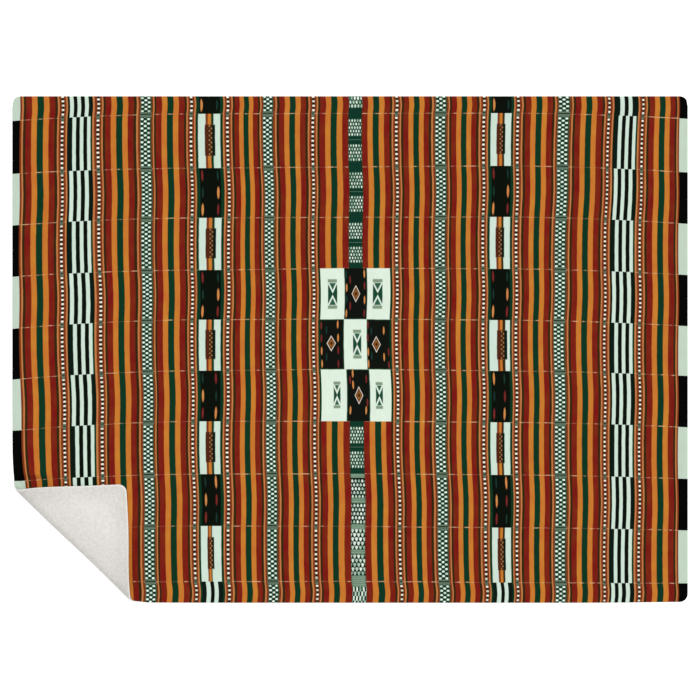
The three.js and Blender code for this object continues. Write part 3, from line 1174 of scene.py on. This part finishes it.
plushFinishes = {
    "beads": makePlush("beads", paintBeads, beads["width"]),
    "net": makePlush("net", paintNet, net["width"]),
    "medallion": makePlush("medallion", paintMedallion, 1.0, 1.0),
}
for name, stripe in stripes.items():
    paint, shown = paintBands(stripe["bands"]), stripe.get("seamShows", 0.0)
    plushFinishes[name] = makePlush(name, paint, stripe["width"], seamShows=shown)
for name, stitches in stitchedCentres.items():
    plushFinishes[name] = makePlush(name, paintCentre(stitches), centreColumn["width"])
for name, pillar in lightPillars.items():
    paint = paintLightPillar(pillar["bands"], pillar["core"])
    plushFinishes["pillarLight" + name] = makePlush("lightPillar" + name, paint, pillar["width"])
for name, pillar in blackPillar["pillars"].items():
    paint = paintBlackPillar(*pillar)
    plushFinishes["pillar" + name] = makePlush("blackPillar" + name, paint, blackPillar["width"])
finishNames = list(plushFinishes)
print("printed plush made")


def finishFor(column, strip, inMedallion):
    # which finish a column of the weave has in one strip
    kind = columnKinds[column].rstrip("<")
    odd = strip % 2 == 0
    side = "Left" if column < len(columnKinds) / 2 else "Right"
    if inMedallion:
        return "medallion"
    if kind == "block":
        return "mintBlock" if odd == (column == 0) else "blackBlock"
    if kind == "ladder" and strip == 0 and side == "Right":
        return "ladderFirst"
    if kind == "ladder":
        return "ladderOdd" if odd else "ladderEven"
    if kind == "pillar" and odd:
        return "pillar" + ("First", "Upper", "Upper", "Lower" + side, "Ninth", "Striped")[strip // 2]
    if kind == "pillar":
        return "pillarLight" + {(5, "Right"): "Sixth", (9, "Left"): "Tenth"}.get((strip, side), side)
    if kind == "centre":
        ends = {0: "centreFirst", 8: "centreUpper", 9: "centreLower", 10: "centreLast"}
        return ends.get(strip, "centre")
    if kind == "guard":
        neighbour = column + (-1 if columnKinds[column].endswith("<") else 1)
        firstStrip, lastStrip = weaveChart["medallionStrips"]
        inRows = firstStrip <= strip <= lastStrip
        besideMedallion = inRows and neighbour in weaveChart["medallionColumns"]
        return "pillarGuard" if columnKinds[neighbour] == "pillar" or besideMedallion else "guard"
    return kind


# The loft of the printed pile rises and falls a little, but not in the rim or where the corner
# is laid over it. All are in millimetres.
loft = {
    "broad": {"size": 210.0, "height": 1.1, "seed": 3},
    "fine": {"size": 70.0, "height": 0.35, "seed": 5},
    "rimCalm": 60.0,
    "cornerCalm": (620.0, 160.0),  # this far from the turned corner, and fading in over this width
}


def loftHeight(x, y):
    start, width = loft["cornerCalm"]
    fromCorner = np.hypot(x + halfWidth, y + halfHeight)
    calm = smoothStep(depthInside(x, y) / loft["rimCalm"]) * smoothStep((fromCorner - start) / width)
    height = np.zeros_like(x)
    for wave in (loft["broad"], loft["fine"]):
        height += gentleNoise(x, y, wave["size"], wave["seed"]) * wave["height"] * calm
    return height


def makePrintedPanel():
    x, y, units, seamsY = printedGrid()
    places, cellColumn, cellStrip, inMedallion = weavePlaces(y, units, seamsY)
    x, y = roundCorners(x, y)
    finishes = [
        finishFor(column, strip, inMedallion[row, line])
        for row, strip in enumerate(cellStrip)
        for line, column in enumerate(cellColumn)
    ]
    slots = np.array([finishNames.index(finish) for finish in finishes])
    pile = pileDepth(x, y, blanket["printedPile"], blanket["printedEdge"])
    gap = blanket["panelGap"] / 2
    upper = layCloth(x, y, gap + pile + loftHeight(x, y))
    lower = layCloth(x, y, np.full_like(x, gap))
    cells, _ = rimCells(*x.shape)
    hidden = np.full(len(slots), len(finishNames))
    panel = sewPanel("printedPanel", upper, lower, [slots, hidden, slots[cells]])
    markCorners(panel, "weave", places, *x.shape)
    markPoints(panel, "cloth", np.stack([x, y, np.zeros_like(x)], axis=-1))
    layOutBake(panel, x, y, True)
    for name in finishNames:
        panel.data.materials.append(plushFinishes[name])
    return panel


# The backing: brushed polyester fleece. It gives a matt, warm white surface with soft nubs, and a painted
# highlight that makes it brighter along the sewn edge.
fleece = {
    "colour": "#DCD9D4",
    "shade": "#CAC6C0",
    # painted highlight: the paler colour painted along the sewn edge, and the width it covers
    "edgeHighlightColour": "#EFEDE8",
    "edgeHighlightWidth": 4.0,  # mm
    "roughness": 1.0,
    "specular": 0.1,
    "ior": 1.5,
    "sheen": 0.25,
    "sheenRoughness": 0.4,
    "nubSize": 11.0,  # mm between nubs
    "nubFade": (0.62, 0.3, 0.0, 0.6),  # how the nubs' noise turns to the shade between them
    "nubHeight": 0.4,  # mm
    "fibreSize": 6.0,  # mm; the fibre is about 0.1 mm and is drawn coarser so that it shows
    "fibreShade": 0.13,
    "broadSize": 240.0,  # mm between places where the pile leans differently
    "broadShade": 0.02,
    # painted light and shade: darker near the fold, paler farther from it on the turned corner, and
    # darker beside the hem; reaches are in mm across the fold and inside the edge
    "foldReach": (-1015.0, -1120.0),
    "foldShade": (-0.055, 0.065),
    "hemReach": (60.0, 20.0),
    "hemShade": -0.085,
    # the hem rises this much at this depth inside the edge, over this width
    "hem": {"rise": 0.9, "depth": 6.0, "width": 3.5},
    "flapReach": (20.0, 40.0),  # mm past the fold's line where the nubs begin, and their fading in
    "bumpStrength": 0.35,
    "bumpDistance": 0.002,  # metres
}


def makeFleece():
    material, add = emptyMaterial("brushed fleece")
    cloth = add("Attribute", out=1, attribute_name="cloth")
    depth = add("SeparateXYZ", (cloth,), out=2)
    flat = add("VectorMath", (cloth, (1.0, 1.0, 0.0)), operation="MULTIPLY")
    nub = {"Vector": flat, "Scale": 1 / fleece["nubSize"], "Detail": 3.0, "Roughness": 0.6}
    nub = add("TexNoise", nub)
    fibre = {"Vector": flat, "Scale": 1 / fleece["fibreSize"], "Detail": 2.0}
    fibre = add("TexNoise", fibre)
    broad = {"Vector": flat, "Scale": 1 / fleece["broadSize"], "Detail": 1.0}
    broad = add("TexNoise", broad)
    shade = add("MapRange", (nub, *fleece["nubFade"]))
    pair = (linearColour(fleece["colour"]), linearColour(fleece["shade"]))
    colour = add("MixRGB", (shade, *pair))
    # painted highlight: the colour turns paler within this width of the sewn edge
    paintedEdgeHighlight = (depth, fleece["edgeHighlightWidth"], fleece["edgeHighlightWidth"] * 0.4, 0.0, 1.0)
    paintedEdgeHighlight = add("MapRange", paintedEdgeHighlight)
    colour = add("MixRGB", (paintedEdgeHighlight, colour, linearColour(fleece["edgeHighlightColour"])))
    level = 1 - fleece["fibreShade"] - fleece["broadShade"]
    light = add("Math", (fibre, 2 * fleece["fibreShade"], level), operation="MULTIPLY_ADD")
    light = add("Math", (broad, 2 * fleece["broadShade"], light), operation="MULTIPLY_ADD")
    # painted shade near the fold and beside the hem, and painted light farther out on the turned corner
    across = (flat, (*acrossFold, 0.0))
    across = add("VectorMath", across, out=1, operation="DOT_PRODUCT")
    paintedFoldLight = add("MapRange", (across, *fleece["foldReach"], *fleece["foldShade"]))
    paintedHemShade = add("MapRange", (depth, *fleece["hemReach"], 0.0, fleece["hemShade"]))
    for paintedLight in (paintedFoldLight, paintedHemShade):
        light = add("Math", (light, paintedLight), operation="ADD")
    colour = add("HueSaturation", {"Value": light, "Color": colour})
    height = add("Math", (nub, 2.5, fibre), operation="MULTIPLY_ADD")
    bump = {"Strength": fleece["bumpStrength"], "Distance": fleece["bumpDistance"], "Height": height}
    surface = add("BsdfPrincipled", {
        "Base Color": colour,
        "Normal": add("Bump", bump),
        "Roughness": fleece["roughness"],
        "IOR": fleece["ior"],
        "Specular IOR Level": fleece["specular"],
        "Sheen Weight": fleece["sheen"],
        "Sheen Roughness": fleece["sheenRoughness"],
    })
    add("OutputMaterial", {"Surface": surface}, out=None)
    return material


# The knitted polyester ground that the pile stands on. It gives a dull, faintly ribbed surface,
# and is hidden between the two panels.
knit = {"colours": ("#D8D4CC", "#C4C0B8"), "ribScale": 0.15, "roughness": 0.9, "specular": 0.2}


def makeKnittedGround():
    material, add = emptyMaterial("knitted ground")
    cloth = add("Attribute", out=1, attribute_name="cloth")
    rib = {"Vector": cloth, "Scale": knit["ribScale"], "Distortion": 0.5}
    rib = add("TexWave", rib, out=1)
    pair = [linearColour(colour) for colour in knit["colours"]]
    colour = add("MixRGB", (rib, *pair))
    surface = add("BsdfPrincipled", {
        "Base Color": colour,
        "Roughness": knit["roughness"],
        "Specular IOR Level": knit["specular"],
    })
    add("OutputMaterial", {"Surface": surface}, out=None)
    return material


def backingLines(half, split):
    # the backing's grid lines in one direction: close in both rims and up to the split
    rim = np.array(division["rim"])
    fine, coarse = division["backingFoldStep"], division["backingBodyStep"]
    lines = [rim[:-1] - half]
    for low, high, step in ((rim[-1] - half, split, fine), (split, half - rim[-1], coarse)):
        lines.append(np.linspace(low, high, max(2, round((high - low) / step) + 1))[:-1])
    lines.append(half - rim[::-1])
    return np.concatenate(lines)


def makeBackingPanel():
    xs = backingLines(halfWidth, division["backingFoldRight"])
    ys = backingLines(halfHeight, division["backingFoldTop"])[::-1]
    x, y = roundCorners(*np.meshgrid(xs, ys))
    depth = depthInside(x, y)
    pile = pileDepth(x, y, blanket["backingPile"], blanket["backingEdge"])
    # two waves of unlike size multiply to uneven nubs
    nubs = gentleNoise(x, y, fleece["nubSize"], 11) * gentleNoise(x, y, fleece["nubSize"] * 1.7, 12)
    distance = x * acrossFold[0] + y * acrossFold[1]
    start, width = fleece["flapReach"]
    onFlap = smoothStep((-turnedCorner["liftOff"] - start - distance) / width)
    hem = fleece["hem"]
    rise = np.exp(-(((depth - hem["depth"]) / hem["width"]) ** 2)) * hem["rise"]
    gap = blanket["panelGap"] / 2
    upper = layCloth(x, y, np.full_like(x, -gap))
    lower = layCloth(x, y, -(gap + pile + onFlap * (nubs * fleece["nubHeight"] + rise)))
    hidden = np.ones((x.shape[0] - 1) * (x.shape[1] - 1))
    rim = np.zeros(2 * sum(x.shape) - 4)
    panel = sewPanel("backingPanel", upper, lower, [hidden, 0 * hidden, rim])
    markPoints(panel, "cloth", np.stack([x, y, depth], axis=-1))
    layOutBake(panel, x, y, False)
    panel.data.materials.append(makeFleece())
    return panel


printedPanel = makePrintedPanel()
backingPanel = makeBackingPanel()
knittedGround = makeKnittedGround()
printedPanel.data.materials.append(knittedGround)
backingPanel.data.materials.append(knittedGround)
print("panels sewn:", len(printedPanel.data.polygons), "and", len(backingPanel.data.polygons), "faces")

for panel, node, slotName, under in (
    (printedPanel, "printed_panel", "printed_plush", ["backingPanel"]),
    (backingPanel, "backing_panel", "white_fleece", []),
):
    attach(panel, "root")
    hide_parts(node)
print("panels dressed")

# A pale light table for a floor, and an even studio light with a soft key from above.
studio = {
    "floorColour": "#FFFFFF",
    "floorGlow": 0.3,
    "floorSize": 30.0,  # metres
    "floorDrop": 0.0004,  # metres below the blanket
    "skyStrength": 0.62,
    "keyStrength": 1.55,
    "keyAngle": 0.6,
    "keyFrom": (0.28, 0.34, 1.0),
}


def layFloor():
    half, height = studio["floorSize"] / 2, -studio["floorDrop"]
    corners = [(-half, -half), (half, -half), (half, half), (-half, half)]
    mesh = bpy.data.meshes.new("studioFloor")
    mesh.from_pydata([(x, y, height) for x, y in corners], [], [(0, 1, 2, 3)])
    floor = bpy.data.objects.new("studioFloor", mesh)
    bpy.context.scene.collection.objects.link(floor)
    material = bpy.data.materials.new("matt painted board")
    material.use_nodes = True
    board = material.node_tree.nodes["Principled BSDF"]
    board.inputs["Base Color"].default_value = linearColour(studio["floorColour"])
    board.inputs["Roughness"].default_value = 1.0
    board.inputs["Specular IOR Level"].default_value = 0.0
    board.inputs["Emission Color"].default_value = linearColour(studio["floorColour"])
    board.inputs["Emission Strength"].default_value = studio["floorGlow"]
    mesh.materials.append(material)


def setUpLight():
    key = bpy.data.lights.new("softKey", "SUN")
    key.energy = studio["keyStrength"]
    key.angle = studio["keyAngle"]
    keyLight = bpy.data.objects.new("softKey", key)
    keyLight.rotation_mode = "QUATERNION"
    keyLight.rotation_quaternion = Vector(studio["keyFrom"]).to_track_quat("Z", "Y")
    bpy.context.scene.collection.objects.link(keyLight)

    world = bpy.data.worlds.new("studio")
    world.use_nodes = True
    sky = world.node_tree.nodes["Background"]
    sky.inputs["Color"].default_value = (1.0, 1.0, 1.0, 1.0)
    sky.inputs["Strength"].default_value = studio["skyStrength"]
    bpy.context.scene.world = world
    bpy.context.scene.view_settings.view_transform = "Standard"


# The camera looks straight down. Its frame is this wide at the height of the pile, and its
# centre is this far from the blanket's, in millimetres.
overhead = {"lens": 85.0, "sensor": 36.0, "frameWidth": 2105.6, "centre": (-0.15, -1.5), "clipEnd": 100.0}


def setUpCamera():
    data = bpy.data.cameras.new("overhead")
    data.lens = overhead["lens"]
    data.sensor_width = overhead["sensor"]
    data.clip_end = overhead["clipEnd"]  # metres
    camera = bpy.data.objects.new("overhead", data)
    pileTop = seamHeight + blanket["printedPile"]
    height = overhead["frameWidth"] * overhead["lens"] / overhead["sensor"] + pileTop
    camera.location = Vector((*overhead["centre"], height)) * millimetre
    bpy.context.scene.collection.objects.link(camera)
    bpy.context.scene.camera = camera


layFloor()
setUpLight()
setUpCamera()
print("studio and camera set up")
